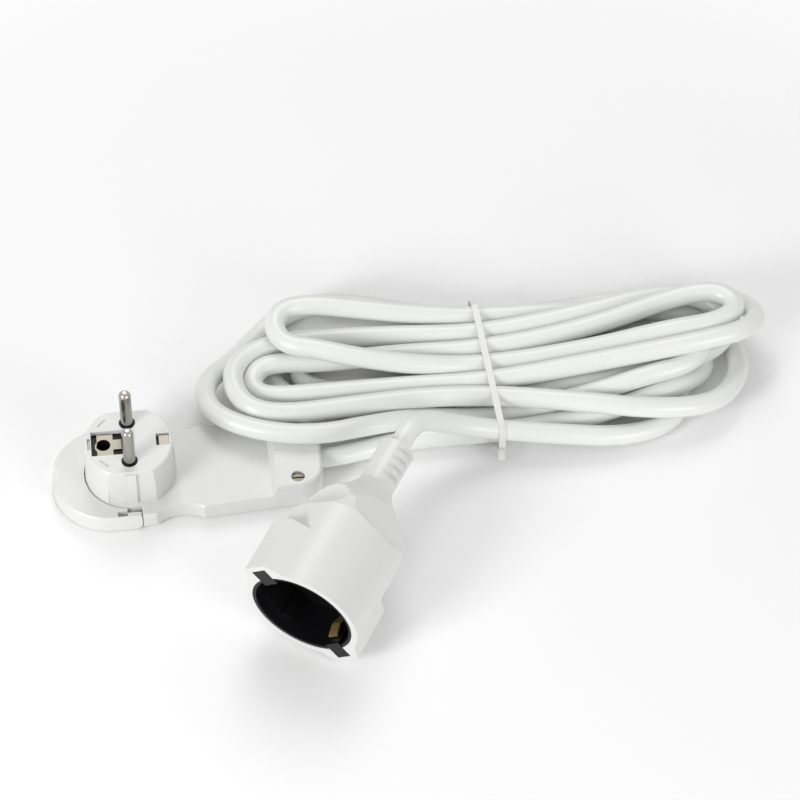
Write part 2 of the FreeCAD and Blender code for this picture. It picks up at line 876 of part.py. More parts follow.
for sign, side in ((1, "far"), (-1, "near")):
    pin_y = pin_half * sign
    cylinder(
        "carrier_collar_" + side, s.collar_dia / 2, s.ceiling, 0, pin_y, cavity_top,
        owner=carrier, kind="Additive",
    )
    cylinder(
        "carrier_root_hole_" + side, s.pin_root_dia / 2 + s.fit_play,
        cavity_top - s.carrier_foot_z + 1, 0, pin_y, s.carrier_foot_z - 1, owner=carrier,
    )
    cylinder(
        "carrier_neck_hole_" + side, s.pin_neck_dia / 2 + s.fit_play, s.face_height,
        0, pin_y, s.carrier_foot_z, owner=carrier,
    )
    cylinder(
        "carrier_flange_seat_" + side, s.pin_flange_dia / 2 + s.fit_play,
        pin_seat_top - s.carrier_foot_z + 1, 0, pin_y, s.carrier_foot_z - 1, owner=carrier,
    )
earth_tube_radius = s.earth_bore_dia / 2 + s.earth_tube_wall
cylinder(
    "carrier_tube_hole", earth_tube_radius + s.fit_play, s.face_height,
    s.earth_x, 0, s.carrier_foot_z - 1, owner=carrier,
)
doc.recompute()

# Plated pins: turned round bars with a domed tip, a flange and a riveted foot
pin_top = s.face_height + s.pin_reach


def make_pin(name, sign):
    pin = new_body(name)
    shank = s.pin_dia / 2
    root = s.pin_root_dia / 2
    spigot = s.pin_spigot_dia / 2
    neck = s.pin_neck_dia / 2
    flange = s.pin_flange_dia / 2
    seat = pin_seat_top - s.fit_play
    foot = s.pin_foot_z - s.pin_spigot
    half = [
        (0, foot),
        (spigot, foot),
        (spigot, s.pin_foot_z),
        (root, s.pin_foot_z),
        (root, seat - s.pin_flange_thick),
        (flange, seat - s.pin_flange_thick),
        (flange, seat),
        (root, seat),
        (root, cavity_top),
        (neck, cavity_top),
        (neck, s.face_height),
        (shank, s.face_height),
        (shank, pin_top - s.pin_dome, s.pin_dome_radius, 1),
        (s.pin_tip_dia / 2, pin_top),
        (0, pin_top),
    ]
    profile = sketch(pin, name + "_profile", "XZ_Plane", [half])
    spin(pin, name + "_turned", profile)
    place(pin, 0, pin_half * sign, 0)


make_pin("line_pin", 1)
make_pin("neutral_pin", -1)

# Plated earth plate in the face recess with the tube that takes an earth pin
earth = new_body("earth_socket")
plate_shape = [
    (s.earth_plate_left, -s.earth_plate_half),
    (s.earth_plate_neck_x, -s.earth_plate_half),
    (s.earth_plate_neck_x, -s.earth_neck_half),
    (s.earth_plate_right, -s.earth_neck_half),
    (s.earth_plate_right, s.earth_neck_half),
    (s.earth_plate_neck_x, s.earth_neck_half),
    (s.earth_plate_neck_x, s.earth_plate_half),
    (s.earth_plate_left, s.earth_plate_half),
]
earth_outline = sketch(earth, "earth_plate_outline", "XY_Plane", [plate_shape], lift=cavity_top)
pad(earth, "earth_plate", earth_outline, s.ceiling - s.earth_plate_drop)
cylinder(
    "earth_tube", earth_tube_radius, cavity_top - s.carrier_foot_z, s.earth_x, 0, s.carrier_foot_z,
    owner=earth, kind="Additive",
)
cylinder(
    "earth_bore", s.earth_bore_dia / 2, s.face_height, s.earth_x, 0, s.carrier_foot_z - 1,
    owner=earth,
)
doc.recompute()

# Plated earth bracket: one bent strip, its arms show in the side windows and face slits
bracket = new_body("earth_bracket")
strip_foot = s.carrier_foot_z - s.metal_thick
arm_x = s.bracket_half - s.metal_thick
strip = [
    (-s.bracket_half, strip_foot),
    (s.bracket_half, strip_foot),
    (s.bracket_half, s.bracket_top_z),
    (s.bracket_fold_x, s.bracket_top_z),
    (s.bracket_fold_x, s.bracket_top_z - s.metal_thick),
    (arm_x, s.bracket_top_z - s.metal_thick),
    (arm_x, s.carrier_foot_z),
    (-arm_x, s.carrier_foot_z),
    (-arm_x, s.bracket_top_z),
    (-s.bracket_half, s.bracket_top_z),
]
strip_outline = sketch(bracket, "bracket_outline", "XZ_Plane", [strip])
pad(bracket, "bracket_strip", strip_outline, s.bracket_width, both=True)

# Steel cover screws, driven from the block top into the cover bosses
screw_seat = s.block_height - s.screw_recess
cover_screw = fuse("cover_screw", [
    cylinder("cover_screw_head", s.screw_head_dia / 2, s.screw_head, s.screw_x, s.screw_half, screw_seat),
    cylinder(
        "cover_screw_shank", s.screw_dia / 2, screw_seat - s.screw_foot_z,
        s.screw_x, s.screw_half, s.screw_foot_z,
    ),
])
slot_half = s.fine_slot / 2
drive = block(
    "cover_screw_slot",
    (s.screw_x - s.screw_head_dia, s.screw_x + s.screw_head_dia),
    (s.screw_half - slot_half, s.screw_half + slot_half),
    (screw_seat + s.screw_head / 2, s.block_height + OVERRUN),
)
slotted = cut("cover_screw_slotted", cover_screw, drive)
gather("cover_screws", [slotted, mirrored("cover_screw_twin", slotted)])

# White cord clamp: saddle bar under the cord, screwed up into the shell
clamp_bar = block(
    "clamp_bar",
    (s.clamp_x - s.clamp_length / 2, s.clamp_x + s.clamp_length / 2),
    both_sides(s.clamp_half),
    (s.clamp_foot_z, s.clamp_top_z),
)
clamp_cuts = [
    cylinder(
        "clamp_saddle", s.cord_dia / 2 + s.fit_play, s.clamp_length * 3,
        s.clamp_x - s.clamp_length, 0, s.cord_z, way="X",
    ),
]
for sign, side in ((1, "far"), (-1, "near")):
    clamp_y = s.clamp_screw_half * sign
    clamp_cuts.append(cylinder(
        "clamp_hole_" + side, s.clamp_screw_dia / 2 + s.cord_play, s.block_height,
        s.clamp_x, clamp_y, 0,
    ))
    clamp_cuts.append(cylinder(
        "clamp_head_seat_" + side, s.clamp_head_dia / 2 + s.cord_play, s.clamp_foot_z + s.clamp_head,
        s.clamp_x, clamp_y, 0,
    ))
as_node(cut("cord_clamp", clamp_bar, fuse("clamp_cuts", clamp_cuts)))
clamp_screw = fuse("clamp_screw", [
    cylinder(
        "clamp_screw_head", s.clamp_head_dia / 2, s.clamp_head,
        s.clamp_x, s.clamp_screw_half, s.clamp_foot_z,
    ),
    cylinder(
        "clamp_screw_shank", s.clamp_screw_dia / 2, s.clamp_screw_top_z - s.clamp_foot_z,
        s.clamp_x, s.clamp_screw_half, s.clamp_foot_z,
    ),
])
gather("clamp_screws", [clamp_screw, mirrored("clamp_screw_twin", clamp_screw)])

# Plated lugs crimped on the three cores inside the plug
barrel_z = s.pin_foot_z - s.barrel_dia / 2
lug = fuse("pin_lug_solid", [
    cylinder("pin_lug_ring", s.lug_radius, s.metal_thick, 0, pin_half, s.pin_foot_z - s.metal_thick),
    cylinder(
        "pin_lug_barrel", s.barrel_dia / 2, s.barrel_length, s.barrel_start_x, pin_half, barrel_z,
        way="X",
    ),
])
lug_holes = fuse("pin_lug_holes", [
    cylinder("pin_lug_eye", s.pin_spigot_dia / 2 + s.fit_play, s.pin_foot_z, 0, pin_half, 1),
    cylinder(
        "pin_lug_bore", s.core_dia / 2 + s.fit_play, s.barrel_length * 2,
        s.barrel_start_x + s.metal_thick, pin_half, barrel_z, way="X",
    ),
])
pin_lug = cut("pin_lug", lug, lug_holes)
earth_barrel_z = strip_foot - s.barrel_dia / 2
earth_barrel_x = s.earth_lug_x + s.earth_lug_radius - s.metal_thick / 2
earth_lug_solid = fuse("earth_lug_solid", [
    cylinder("earth_lug_pad", s.earth_lug_radius, s.metal_thick, s.earth_lug_x, 0, strip_foot - s.metal_thick),
    cylinder(
        "earth_lug_barrel", s.barrel_dia / 2, s.barrel_length, earth_barrel_x, 0, earth_barrel_z,
        way="X",
    ),
])
earth_lug = cut("earth_lug", earth_lug_solid, cylinder(
    "earth_lug_bore", s.core_dia / 2 + s.fit_play, s.barrel_length * 2,
    earth_barrel_x + s.metal_thick, 0, earth_barrel_z, way="X",
))
gather("core_crimps", [pin_lug, mirrored("neutral_lug", pin_lug), earth_lug])

# Three insulated cores from the sheath end to the lugs
core_end_x = (s.barrel_start_x + s.metal_thick + s.cord_play * 4).number
core_run_z = s.core_run_z.number
first_bend_x = s.cord_start_x - s.core_straight
second_bend_x = (first_bend_x - s.core_slope).number
core_turn_x = (s.bracket_half + s.core_turn_reach).number
for name, sign in (("core_line", 1), ("core_neutral", -1)):
    side = s.core_pitch.number * sign
    pin_side = pin_half.number * sign
    tube(name, [
        (s.cord_start_x.number, side, s.core_start_z.number),
        (first_bend_x.number, side, s.core_start_z.number),
        (second_bend_x, side * s.core_spread.number, core_run_z),
        (core_turn_x, pin_side * s.core_turn_share.number, s.core_turn_z.number),
        (s.core_rise_x.number, pin_side, barrel_z.number),
        (core_end_x, pin_side, barrel_z.number),
    ], s.core_dia)
earth_core_end = (earth_barrel_x + s.metal_thick + s.cord_play * 4).number
tube("core_earth", [
    (s.cord_start_x.number, 0, s.core_low_z.number),
    (s.bracket_half.number, 0, s.core_low_z.number),
    (s.earth_rise_x.number, 0, earth_barrel_z.number),
    (earth_core_end, 0, earth_barrel_z.number),
], s.core_dia)

# Round cord from the plug to the hank
HANK_FACE_X = 160.0
tube("cord_plug_end", [
    (s.cord_start_x.number, 0, s.cord_z.number),
    (88.0, 0, s.cord_z.number),
    (122.0, 7.6, 5.0),
    (HANK_FACE_X, 7.6, 5.0),
], s.cord_dia)


# Outline of the tie, drawn any distance inside its outer face
def tie_outline(inset):
    inset = as_size(inset)
    left = s.tie_left + inset
    right = s.tie_right - inset
    foot = s.tie_foot + inset
    top = s.tie_top - inset
    left_low = s.tie_left_low - inset
    left_high = s.tie_left_high - inset
    right_low = s.tie_right_low - inset
    right_high = s.tie_right_high - inset
    return [
        (left + left_low, foot),
        (right - right_low, foot, right_low, 1),
        (right, foot + right_low),
        (right, top - right_high, right_high, 1),
        (right - right_high, top),
        (left + left_high, top, left_high, 1),
        (left, top - left_high),
        (left, foot + left_low, left_low, 1),
    ]


# Clear twist tie: one bent strip that draws the strands of the hank together
TIE_TURN = FreeCAD.Rotation(Z_AXIS, s.tie_turn.number)
tie = new_body("hank_tie")
tie_outer = sketch(tie, "tie_outer", "YZ_Plane", [tie_outline(0)])
pad(tie, "tie_strip", tie_outer, s.tie_width, both=True)
tie_inner = sketch(tie, "tie_inner", "YZ_Plane", [tie_outline(s.tie_thick)])
pocket(tie, "tie_hollow", tie_inner, s.tie_width * 2, both=True)
place(tie, s.tie_x, 0, 0, TIE_TURN)

# Hank of the looped cord, drawn as its outer shape, open in the middle of both lobes
hank_points = [
    (76.0, 5.5), (99.0, 12.6), (HANK_FACE_X, 12.6), (HANK_FACE_X, -3.0), (186.0, -4.6),
    (200.0, 0.0), (235.0, 9.0), (252.0, 21.0), (263.0, 40.0), (264.0, 55.0), (257.0, 65.0),
    (240.0, 71.0), (190.0, 71.8), (146.0, 71.2), (110.0, 83.0), (89.0, 87.0), (68.0, 84.0),
    (50.0, 75.0), (29.0, 46.0), (26.0, 32.0), (34.0, 18.0), (55.0, 6.5),
]
raised_end = [(20.0, -10.0), (128.0, -10.0), (128.0, 95.0), (20.0, 95.0)]
left_lobe = [
    (78.0, 46.0), (96.0, 38.0), (118.0, 37.0), (118.0, 46.0), (100.0, 55.0), (84.0, 58.0),
]
right_lobe = [(176.0, 38.0), (215.0, 38.0), (236.0, 46.0), (226.0, 54.0), (176.0, 52.0)]


def ring_face(points):
    corners = [FreeCAD.Vector(x, y, s.hank_foot_z.number) for x, y in points]
    return Part.Face(Part.makePolygon(corners + corners[:1]))


hank_face = ring_face(hank_points).cut(ring_face(left_lobe)).cut(ring_face(right_lobe)).Faces[0]
raised_face = hank_face.common(ring_face(raised_end)).Faces[0]
slab = hank_face.extrude(FreeCAD.Vector(0, 0, s.hank_height.number))
raised = raised_face.extrude(FreeCAD.Vector(0, 0, (s.hank_height + s.hank_rise).number))
hank_bulk = doc.addObject("Part::Feature", "hank_bulk")
hank_bulk.Shape = slab.fuse(raised).removeSplitter()
neck = doc.addObject("PartDesign::Body", "hank_neck")
neck_outline = sketch(neck, "neck_outline", "YZ_Plane", [tie_outline(s.tie_thick + s.cord_play)])
pad(neck, "neck_bar", neck_outline, s.neck_length * 2, both=True)
place(neck, s.tie_x, 0, 0, TIE_TURN)
neck_low = s.tie_x - s.neck_length
neck_high = s.tie_x + s.neck_length / 2
neck_room = block(
    "neck_room", (neck_low, neck_high), (s.tie_left - OVERRUN, s.tie_right + OVERRUN * 4),
    (-OVERRUN, s.tie_top + OVERRUN * 2),
)
over_plug = block(
    "over_plug", (0, end_x + s.cord_dia / 2), both_sides(s.handle_half + s.hank_foot_z),
    (-OVERRUN, s.block_height + s.hank_foot_z),
)
hank_cuts = fuse("hank_cuts", [cut("neck_ring", neck_room, neck), over_plug])
as_node(cut("cord_hank", hank_bulk, hank_cuts))

# Coupler pieces are built along their own axis, the rim at nought, then set down beside the plug
COUPLER_TURN = FreeCAD.Rotation(s.coupler_yaw.number, s.coupler_pitch.number, s.coupler_roll.number)


def set_down(item):
    place(item, s.coupler_x, s.coupler_y, s.coupler_z, COUPLER_TURN)


# White coupler housing: head, side lugs, gripping shoulder and strain relief in one moulding
housing = new_body("coupler_housing")
coupler_bore = s.cord_dia / 2 + s.cord_play
cup_radius = s.recess_radius + s.cup_wall
housing_bore = cup_radius + s.fit_play
housing_half = [
    (housing_bore, 0),
    (s.head_radius, 0),
    (s.head_radius, s.head_length),
    (s.head_radius - 1.6, s.head_length + 6.5),
    (s.head_radius - 5.6, s.head_length + 12),
    (s.relief_radius + 2.6, s.relief_start - 5),
    (s.relief_radius, s.relief_start),
    (s.relief_radius, s.coupler_length),
    (coupler_bore, s.coupler_length),
    (coupler_bore, s.coupler_cord_start),
    (coupler_bore + 0.6, s.coupler_cord_start - 3),
    (s.throat_radius - 1, s.head_hollow + 9),
    (s.throat_radius, s.head_hollow),
    (housing_bore, s.head_hollow),
]
housing_profile = sketch(housing, "housing_profile", "XZ_Plane", [housing_half])
spin(housing, "housing_turned", housing_profile)


def side_lug(sign):
    return [
        (s.lug_foot_x * sign, -s.lug_foot_half),
        (s.lug_reach * sign, -s.lug_tip_half),
        (s.lug_reach * sign, s.lug_tip_half),
        (s.lug_foot_x * sign, s.lug_foot_half),
    ]


lugs = sketch(housing, "housing_lug_outline", "XY_Plane", [side_lug(1), side_lug(-1)])
pad(housing, "housing_lugs", lugs, s.lug_length)
cylinder("housing_recess", housing_bore, s.head_hollow, 0, 0, 0, owner=housing)
rail_room = s.rail_half + s.fit_play
block(
    "housing_rail_slots", both_sides(s.rail_outer + s.fit_play), both_sides(rail_room),
    (-1, s.recess_depth + s.fit_play), owner=housing,
)
grip_places = [(1, 0), (-1, 0), (0, 1), (0, -1)]
for number, (along_x, along_y) in enumerate(grip_places, start=1):
    way = "Y" if along_x else "X"
    reach = s.grip_radius * 3
    grip_x = s.grip_centre * along_x if along_x else -reach / 2
    grip_y = s.grip_centre * along_y if along_y else -reach / 2
    cylinder(
        "housing_grip_%d" % number, s.grip_radius, reach, grip_x, grip_y, s.grip_place,
        way=way, owner=housing,
    )
for number in range(4):
    groove_z = s.groove_first + s.groove_pitch * number
    for sign, side in ((1, "far"), (-1, "near")):
        floor = s.relief_radius - s.groove_depth
        span = (floor, s.relief_radius + 1) if sign > 0 else (-s.relief_radius - 1, -floor)
        block(
            "housing_groove_%s_%d" % (side, number), both_sides(s.relief_radius), span,
            (groove_z, groove_z + s.groove_width), owner=housing,
        )
set_down(housing)
doc.recompute()

# Black coupler insert: cup in the head with guide ledges, contact wells and two rails
insert = new_body("coupler_insert")
insert_end = s.recess_depth + s.insert_length
cup_half = [
    (0, s.recess_depth),
    (s.recess_radius, s.recess_depth),
    (s.recess_radius, s.cup_start),
    (cup_radius, s.cup_start),
    (cup_radius, insert_end),
    (0, insert_end),
]
cup_profile = sketch(insert, "insert_profile", "XZ_Plane", [cup_half])
spin(insert, "insert_cup", cup_profile)
guide_x = leg(s.recess_radius, s.guide_half)


def guide_ledge(sign):
    return [
        (-guide_x, s.guide_half * sign, s.recess_radius, -sign),
        (guide_x, s.guide_half * sign),
        (s.guide_notch_half, s.guide_half * sign),
        (s.guide_notch_half, s.guide_notch_reach * sign),
        (-s.guide_notch_half, s.guide_notch_reach * sign),
        (-s.guide_notch_half, s.guide_half * sign),
    ]


guides = sketch(
    insert, "insert_guides", "XY_Plane", [guide_ledge(1), guide_ledge(-1)], lift=s.guide_start,
)
pad(insert, "insert_ledges", guides, s.recess_depth - s.guide_start)
for sign, side in ((1, "far"), (-1, "near")):
    span = (s.rail_inner, s.rail_outer) if sign > 0 else (-s.rail_outer, -s.rail_inner)
    block(
        "insert_rail_" + side, span, both_sides(s.rail_half), (0, s.recess_depth),
        owner=insert, kind="Additive",
    )
    arm_room = s.cover_play
    low = s.bow_half - s.metal_thick - arm_room
    high = s.bow_half + arm_room
    slot = (low, high) if sign > 0 else (-high, -low)
    block(
        "insert_bow_slot_" + side, slot, both_sides(s.bow_width / 2 + arm_room),
        (s.recess_depth - 1, insert_end + 1), owner=insert,
    )
    cylinder(
        "insert_well_" + side, s.contact_bore_dia / 2, s.insert_length * 2,
        0, pin_half * sign, s.recess_depth - 1, owner=insert,
    )
    cylinder(
        "insert_seat_" + side, s.contact_dia / 2 + s.fit_play, s.insert_length * 2,
        0, pin_half * sign, s.contact_start - s.fit_play, owner=insert,
    )
set_down(insert)
doc.recompute()

# Brass coupler contacts: tubes that take the pins, with a tail crimped on the core
def make_contact(name, sign):
    contact = new_body(name)
    outer = s.contact_dia / 2
    bore = s.pin_dia / 2 + s.fit_play
    tail = s.contact_tail_dia / 2
    core_hole = s.core_dia / 2 + s.fit_play
    tail_start = s.contact_start + s.contact_length
    tail_end = tail_start + s.contact_tail
    half = [
        (bore, s.contact_start),
        (outer, s.contact_start),
        (outer, tail_start),
        (tail, tail_start),
        (tail, tail_end),
        (core_hole, tail_end),
        (core_hole, tail_start + s.metal_thick),
        (0, tail_start + s.metal_thick),
        (0, tail_start - s.metal_thick),
        (bore, tail_start - s.metal_thick),
    ]
    profile = sketch(contact, name + "_profile", "XZ_Plane", [half])
    spin(contact, name + "_turned", profile)
    centre = FreeCAD.Vector(0, pin_half.number * sign, 0)
    moved = COUPLER_TURN.multVec(centre)
    place(
        contact, s.coupler_x + moved.x, s.coupler_y + moved.y, s.coupler_z + moved.z, COUPLER_TURN,
    )


make_contact("coupler_contact_line", 1)
make_contact("coupler_contact_neutral", -1)

# Brass earth bow of the coupler: one strip with a spring arm on each side of the recess
bow = new_body("coupler_earth_bow")
bow_foot = insert_end + s.cover_play
bow_low = s.bow_half - s.metal_thick
bulge = s.bow_start + 5
bow_end = s.bow_start + 10
bow_strip = [
    (s.bow_half, s.bow_start),
    (s.bow_half - s.bow_bulge, bulge),
    (s.bow_half, bow_end),
    (s.bow_half, bow_foot + s.metal_thick),
    (-s.bow_half, bow_foot + s.metal_thick),
    (-s.bow_half, bow_end),
    (s.bow_bulge - s.bow_half, bulge),
    (-s.bow_half, s.bow_start),
    (-bow_low, s.bow_start),
    (s.bow_bulge - bow_low, bulge),
    (-bow_low, bow_end),
    (-bow_low, bow_foot),
    (bow_low, bow_foot),
    (bow_low, bow_end),
    (bow_low - s.bow_bulge, bulge),
    (bow_low, s.bow_start),
]
bow_outline = sketch(bow, "bow_outline", "XZ_Plane", [bow_strip])
pad(bow, "bow_strip", bow_outline, s.bow_width, both=True)
set_down(bow)


# Points along the coupler's own axes turned into the shared frame
def coupler_point(x, y, z):
    base = FreeCAD.Vector(s.coupler_x.number, s.coupler_y.number, s.coupler_z.number)
    moved = COUPLER_TURN.multVec(FreeCAD.Vector(x, y, z)) + base
    return (moved.x, moved.y, moved.z)


# Three insulated cores inside the coupler
sheath_end = s.coupler_cord_start.number
tail_mouth = (s.contact_start + s.contact_length + s.metal_thick + s.cord_play * 4).number
tail_out = (s.contact_start + s.contact_length + s.contact_tail + s.core_straight).number
for name, sign in (("coupler_core_line", 1), ("coupler_core_neutral", -1)):
    side = pin_half.number * sign
    inner_side = s.core_triad.number * sign
    tube(name, [
        coupler_point(0, side, tail_mouth),
        coupler_point(0, side, tail_out),
        coupler_point(0, inner_side, sheath_end - s.core_straight.number * 2),
        coupler_point(0, inner_side, sheath_end),
    ], s.core_dia)
tube("coupler_core_earth", [
    coupler_point(0, 0, (bow_foot + s.metal_thick + s.fit_play).number),
    coupler_point(0, 0, sheath_end),
], s.core_dia)

# Round cord from the coupler to the hank
tube("cord_socket_end", [
    coupler_point(0, 0, sheath_end),
    coupler_point(0, 0, 99.0),
    (136.0, 2.9, 12.0),
    (HANK_FACE_X, 2.9, 12.0),
], s.cord_dia)

# Checks and the written files
doc.recompute()
os.makedirs("parts", exist_ok=True)
for item in doc.Objects:
    if "Invalid" in item.State or "Error" in item.State:
        raise RuntimeError(item.Name + " did not build")
for item in nodes:
    if item.Shape.isNull() or not item.Shape.isValid():
        raise RuntimeError(item.Label + " has no sound shape")
    item.Shape.exportStep("parts/" + item.Label + ".step")
    print(item.Label, len(item.Shape.Solids), round(item.Shape.Volume / 1000, 2), "cm3")
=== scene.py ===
import math
import bpy
import bmesh
from mathutils import Matrix, Vector


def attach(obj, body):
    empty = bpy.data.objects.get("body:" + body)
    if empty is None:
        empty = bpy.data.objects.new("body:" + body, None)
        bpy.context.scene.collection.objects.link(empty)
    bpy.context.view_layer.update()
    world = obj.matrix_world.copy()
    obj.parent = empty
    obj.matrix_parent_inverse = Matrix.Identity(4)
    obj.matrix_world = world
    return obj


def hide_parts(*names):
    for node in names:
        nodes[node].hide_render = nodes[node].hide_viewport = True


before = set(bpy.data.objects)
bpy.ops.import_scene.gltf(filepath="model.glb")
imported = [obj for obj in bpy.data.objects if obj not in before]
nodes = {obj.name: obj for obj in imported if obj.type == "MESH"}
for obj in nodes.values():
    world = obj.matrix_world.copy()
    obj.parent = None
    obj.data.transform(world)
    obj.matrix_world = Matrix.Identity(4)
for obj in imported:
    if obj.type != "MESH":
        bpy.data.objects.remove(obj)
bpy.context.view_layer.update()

# White plug mouldings. The front shell, back cover and cord clamp are injection moulded in a hard
# white plastic; the shell is one hollow piece and the cover is screwed into it from the front.
# Their surface has a faint grain and a soft gloss.
WHITE = (0.73, 0.735, 0.72)
SURFACE_DEFAULTS = (
    ("Patch scale", 60),
    ("Grain scale", 900),
    ("Roughness", 0.4),
    ("Spread", 0.06),
    ("Grain", 0.05),
)
GRAIN_DEPTH = 0.0002


def surface_group():
    """Faint uneven gloss and grain of a moulded or drawn surface."""
    group = bpy.data.node_groups.new("Moulded surface", "ShaderNodeTree")
    for name, value in SURFACE_DEFAULTS:
        socket = group.interface.new_socket(name, in_out="INPUT", socket_type="NodeSocketFloat")
        socket.default_value = value
    group.interface.new_socket("Roughness", in_out="OUTPUT", socket_type="NodeSocketFloat")
    group.interface.new_socket("Normal", in_out="OUTPUT", socket_type="NodeSocketVector")
    new = group.nodes.new
    link = group.links.new
    inlet = new("NodeGroupInput")
    outlet = new("NodeGroupOutput")
    place = new("ShaderNodeTexCoord")
    patches = new("ShaderNodeTexNoise")
    grain = new("ShaderNodeTexNoise")
    centred = new("ShaderNodeMath")
    centred.operation = "SUBTRACT"
    centred.inputs[1].default_value = 0.5
    spread = new("ShaderNodeMath")
    spread.operation = "MULTIPLY"
    total = new("ShaderNodeMath")
    total.operation = "ADD"
    bump = new("ShaderNodeBump")
    bump.inputs["Distance"].default_value = GRAIN_DEPTH
    link(place.outputs["Object"], patches.inputs["Vector"])
    link(place.outputs["Object"], grain.inputs["Vector"])
    link(inlet.outputs["Patch scale"], patches.inputs["Scale"])
    link(inlet.outputs["Grain scale"], grain.inputs["Scale"])
    link(patches.outputs["Fac"], centred.inputs[0])
    link(centred.outputs[0], spread.inputs[0])
    link(inlet.outputs["Spread"], spread.inputs[1])
    link(spread.outputs[0], total.inputs[0])
    link(inlet.outputs["Roughness"], total.inputs[1])
    link(total.outputs[0], outlet.inputs["Roughness"])
    link(grain.outputs["Fac"], bump.inputs["Height"])
    link(inlet.outputs["Grain"], bump.inputs["Strength"])
    link(bump.outputs["Normal"], outlet.inputs["Normal"])
    return group


SURFACE = surface_group()


def material(name, colour, roughness, grain=0.05, **shader_values):
    """A Principled material with the shared surface; shader_values go on the shader's sockets."""
    made = bpy.data.materials.new(name)
    made.use_nodes = True
    tree = made.node_tree
    shader = tree.nodes["Principled BSDF"]
    shader.inputs["Base Color"].default_value = (*colour, 1)
    for key, value in shader_values.items():
        shader.inputs[key.replace("_", " ")].default_value = value
    surface = tree.nodes.new("ShaderNodeGroup")
    surface.node_tree = SURFACE
    surface.inputs["Roughness"].default_value = roughness
    surface.inputs["Grain"].default_value = grain
    tree.links.new(surface.outputs["Roughness"], shader.inputs["Roughness"])
    tree.links.new(surface.outputs["Normal"], shader.inputs["Normal"])
    return made


def paint(obj, made):
    """Gives the object one material."""
    obj.data.materials.clear()
    obj.data.materials.append(made)


white_moulding = material("White moulding", WHITE, 0.36, grain=0.3)
for name in ("front_shell", "back_cover", "cord_clamp"):
    paint(nodes[name], white_moulding)

# White pull handle. A separate moulded horseshoe in the same white plastic, snapped on the two
# stub axles of the shell, so that it folds out of the back to pull the plug from the wall.
paint(nodes["pull_handle"], white_moulding)

# Black contact carrier. A heat resisting black moulding that holds the pins and shows in the
# face recess and as a collar round each pin.
black_moulding = material("Black moulding", (0.004, 0.004, 0.005), 0.4, Specular_IOR_Level=0.22)
paint(nodes["contact_carrier"], black_moulding)

# Pins. Turned brass bars with bright nickel plating and domed tips. Each stands in the carrier on
# its flange, and the lug of a core is fixed to the stub at its foot.
pin_metal = material("Plated pin", (0.4, 0.38, 0.345), 0.16, grain=0.02, Metallic=1.0)
for name in ("line_pin", "neutral_pin"):
    paint(nodes[name], pin_metal)

# Earth plate with its tube, earth bracket and lugs. Pressed from nickel plated strip, duller than
# the pins. The bracket clips over the carrier, its two ends show in the slits of the face, and the
# cores are crimped in the lugs.
strip_metal = material("Plated strip", (0.22, 0.205, 0.175), 0.34, grain=0.1, Metallic=1.0)
for name in ("earth_socket", "earth_bracket", "core_crimps"):
    paint(nodes[name], strip_metal)

# Screws. Zinc plated steel with slotted heads. Two go through the end block into the back cover,
# and two small ones hold the cord clamp down on the sheath.
screw_metal = material("Screw steel", (0.16, 0.145, 0.12), 0.4, Metallic=1.0)
for name in ("cover_screws", "clamp_screws"):
    paint(nodes[name], screw_metal)

# Cores. Copper strands in coloured plastic insulation. Three run from the end of the sheath to the
# lugs inside the plug, and three to the contacts inside the coupler.
core_colours = {
    "line": ("core_brown", (0.13, 0.05, 0.02)),
    "neutral": ("core_blue", (0.02, 0.09, 0.42)),
    "earth": ("core_green", (0.17, 0.42, 0.03)),
}
for key, (slot, colour) in core_colours.items():
    insulation = material("Insulation " + key, colour, 0.45)
    for name in ("core_" + key, "coupler_core_" + key):
        paint(nodes[name], insulation)

# Coupler housing. One soft white moulding with the head, two side lugs, four shallow finger
# scoops behind the head and the strain relief round the cord.
coupler_white = material("Coupler moulding", (0.715, 0.72, 0.71), 0.3)
paint(nodes["coupler_housing"], coupler_white)

# Coupler insert. A black heat resisting moulding pressed into the head: a deep cup with two guide
# ledges, the two contact wells in its floor and the rails that carry the earth bow.
paint(nodes["coupler_insert"], black_moulding)

# Coupler contacts and earth bow. Rolled from brass strip. The contacts sit in the wells, and the
# bow lies in its slots with a spring end showing at each side of the cup.
brass = material("Contact brass", (0.95, 0.66, 0.27), 0.38, Metallic=1.0)
for name in ("coupler_contact_line", "coupler_contact_neutral", "coupler_earth_bow"):
    paint(nodes[name], brass)

# Tie. A thin translucent white plastic strip, wound once round the whole hank and pressed flat;
# its loose end curls up a little at the front foot of the hank.
LEAD_BODY = "plug_and_lead"
TIE_WIDTH = 0.0026
TIE_THICK = 0.0006
CURL_CENTRE = (0.148, -0.0028, 0.0036)
CURL_RADIUS = 0.0021
CURL_STEPS = 14
CURL_FIRST = math.radians(-100)
CURL_LAST = math.radians(125)


